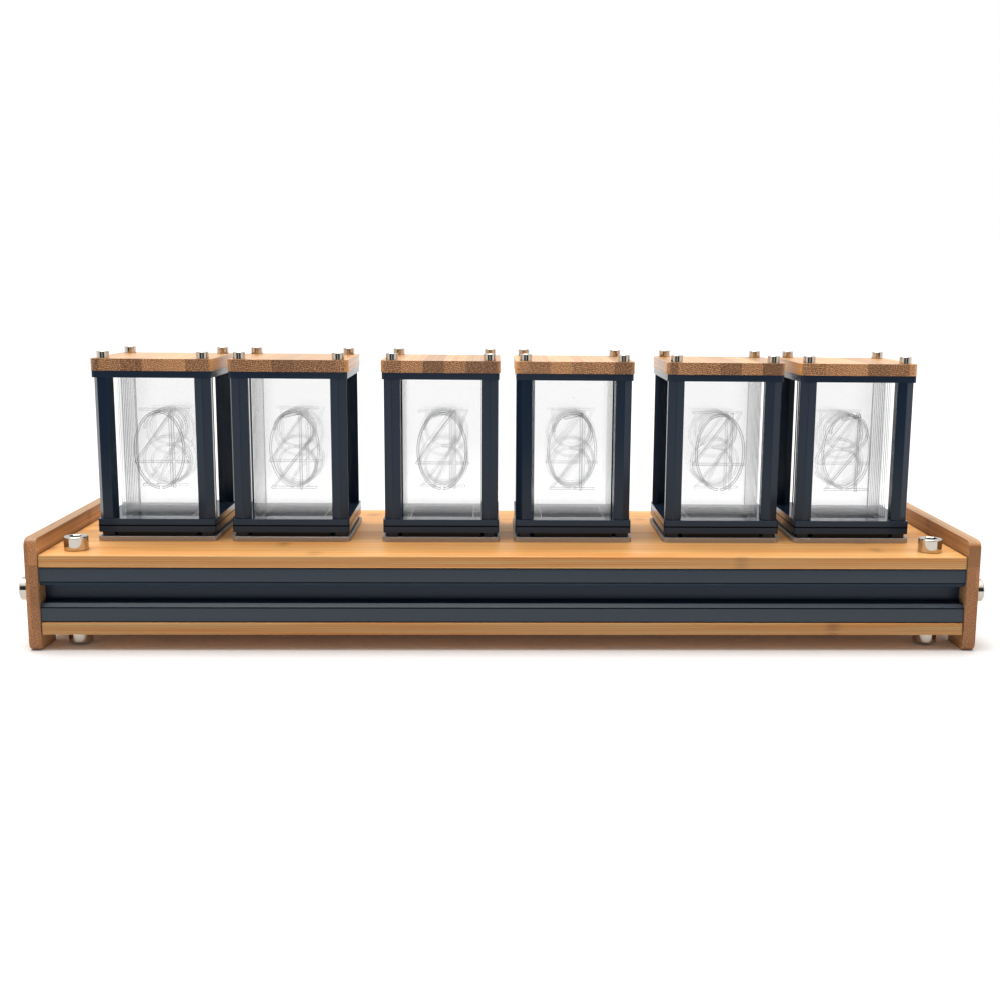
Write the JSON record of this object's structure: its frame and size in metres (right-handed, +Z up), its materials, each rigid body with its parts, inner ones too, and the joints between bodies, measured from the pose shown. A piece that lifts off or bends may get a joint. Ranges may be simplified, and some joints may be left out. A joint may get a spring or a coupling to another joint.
{
  "type": "digital clock",
  "caption": "Edge-lit digital clock: stacks of clear sheets with engraved numerals, in pairs between black posts on a bamboo base with slotted black rails and push buttons.",
  "frame": {"origin": "on the table, under the middle of the clock", "axes": "+X along the clock to the right as seen from its front, +Z up, the front faces -Y"},
  "size_m": [0.3488, 0.096, 0.1044],
  "materials": {
    "bamboo": "laminated bamboo, cut and sanded",
    "black_rail": "satin black anodised aluminium",
    "black_acrylic": "polished cast sheet",
    "clear_acrylic": "clear cast sheet, engraved",
    "black_nylon": "moulded, slight sheen",
    "nickel_steel": "nickel plated, polished",
    "grey_plate": "satin grey sheet",
    "circuit_board": "black solder mask",
    "black_plastic": "fine moulded texture"
  },
  "bodies": {
    "clock": {"cap_1": "bamboo", "cap_2": "bamboo", "cap_3": "bamboo", "cap_4": "bamboo", "cap_5": "bamboo", "cap_6": "bamboo", "top_plate_1": "black_acrylic", "top_plate_2": "black_acrylic", "top_plate_3": "black_acrylic", "top_plate_4": "black_acrylic", "top_plate_5": "black_acrylic", "top_plate_6": "black_acrylic", "digit_sheets_1": "clear_acrylic", "digit_sheets_2": "clear_acrylic", "digit_sheets_3": "clear_acrylic", "digit_sheets_4": "clear_acrylic", "digit_sheets_5": "clear_acrylic", "digit_sheets_6": "clear_acrylic", "slot_plate_1": "black_acrylic", "slot_plate_2": "black_acrylic", "slot_plate_3": "black_acrylic", "slot_plate_4": "black_acrylic", "slot_plate_5": "black_acrylic", "slot_plate_6": "black_acrylic", "light_board_1": "circuit_board", "light_board_2": "circuit_board", "light_board_3": "circuit_board", "light_board_4": "circuit_board", "light_board_5": "circuit_board", "light_board_6": "circuit_board", "foot_plate_1": "grey_plate", "foot_plate_2": "grey_plate", "foot_plate_3": "grey_plate", "foot_plate_4": "grey_plate", "foot_plate_5": "grey_plate", "foot_plate_6": "grey_plate", "mask_plates": "black_acrylic", "corner_spacers": "black_nylon", "posts": "black_nylon", "cap_screws": "nickel_steel", "unit_screws": "nickel_steel", "left_cheek": "bamboo", "right_cheek": "bamboo", "top_board": "bamboo", "bottom_board": "bamboo", "front_rail": "black_rail", "rear_rail": "black_rail", "cheek_bolts": "nickel_steel", "board_bolts": "nickel_steel", "slot_nuts": "nickel_steel", "main_board": "circuit_board", "board_spacers": "black_nylon", "board_screws": "nickel_steel", "cell_holder": "black_plastic", "button_cell": "nickel_steel", "power_socket": "nickel_steel", "switches": "black_plastic"},
    "set_button": {"button_set": "black_plastic"},
    "plus_button": {"button_plus": "black_plastic"},
    "minus_button": {"button_minus": "black_plastic"}
  },
  "joints": [
    {"name": "set_press", "type": "slide", "parent": "clock", "child": "set_button", "axis": [-1, 0, 0], "range_m": [0, 0.0005], "stiffness_N_per_m": 2500},
    {"name": "plus_press", "type": "slide", "parent": "clock", "child": "plus_button", "axis": [-1, 0, 0], "range_m": [0, 0.0005], "stiffness_N_per_m": 2500},
    {"name": "minus_press", "type": "slide", "parent": "clock", "child": "minus_button", "axis": [-1, 0, 0], "range_m": [0, 0.0005], "stiffness_N_per_m": 2500}
  ]
}
